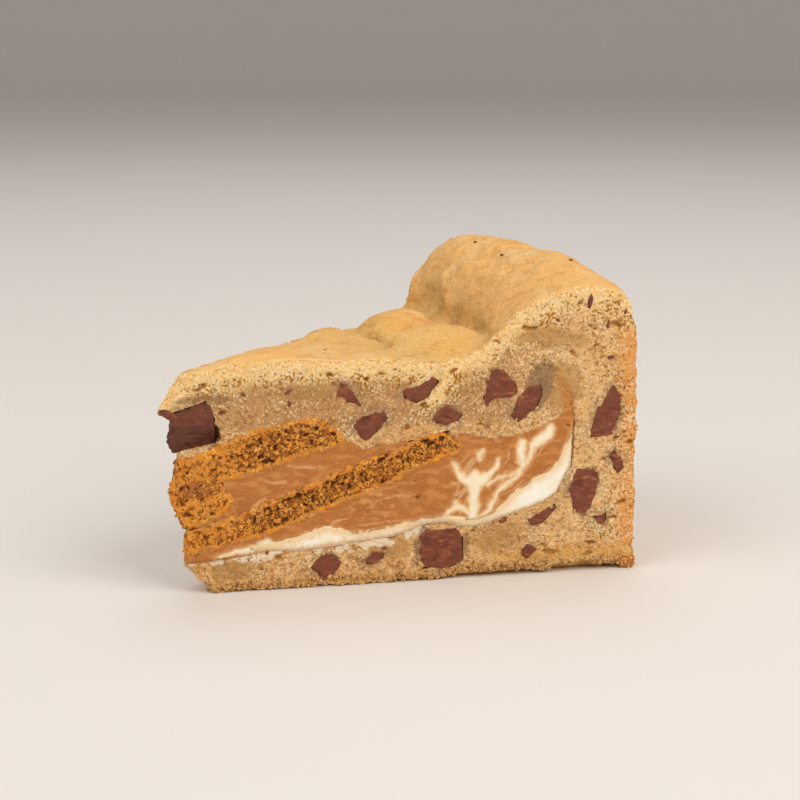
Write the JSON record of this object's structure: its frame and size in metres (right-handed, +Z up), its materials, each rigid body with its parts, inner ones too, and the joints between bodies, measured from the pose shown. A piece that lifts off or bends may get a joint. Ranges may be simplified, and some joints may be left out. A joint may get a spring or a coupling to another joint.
{
  "type": "slice of deep filled cookie pie",
  "caption": "Deep wedge of chocolate-chunk cookie pie with a raised browned rim, filled with caramel-coloured biscuit spread, a white layer and baked biscuits, standing on its base.",
  "frame": {"origin": "centre of the slice's bounding box in plan, at the height of the flat base it stands on", "axes": "+X along the front cut face from the tip to the browned outer crust, which is the longest extent; the front cut face is the plane that faces -Y; +Z up"},
  "size_m": [0.1006, 0.0716, 0.0666],
  "materials": {
    "dough": "matt baked crumb",
    "spread": "soft satin",
    "white": "soft satin",
    "biscuit": "matt porous crumb",
    "chocolate": "satin"
  },
  "bodies": {
    "root": {"cookie_dough": "dough", "spread_lower": "spread", "spread_upper": "spread", "white_filling": "white", "biscuit_upper": "biscuit", "biscuit_lower": "biscuit", "biscuit_tip": "biscuit", "chunk_tip": "chocolate", "chunk_front_01": "chocolate", "chunk_front_02": "chocolate", "chunk_front_03": "chocolate", "chunk_front_04": "chocolate", "chunk_front_05": "chocolate", "chunk_front_06": "chocolate", "chunk_front_07": "chocolate", "chunk_front_08": "chocolate", "chunk_front_09": "chocolate", "chunk_front_10": "chocolate", "chunk_front_11": "chocolate", "chunk_front_12": "chocolate", "chunk_front_13": "chocolate", "chunk_front_14": "chocolate", "chunk_front_15": "chocolate", "chunk_back_01": "chocolate", "chunk_back_02": "chocolate", "chunk_back_03": "chocolate", "chunk_back_04": "chocolate", "chunk_back_05": "chocolate", "chunk_back_06": "chocolate", "chunk_back_07": "chocolate", "chunk_back_08": "chocolate", "chunk_back_09": "chocolate", "chunk_back_10": "chocolate"}
  },
  "joints": []
}
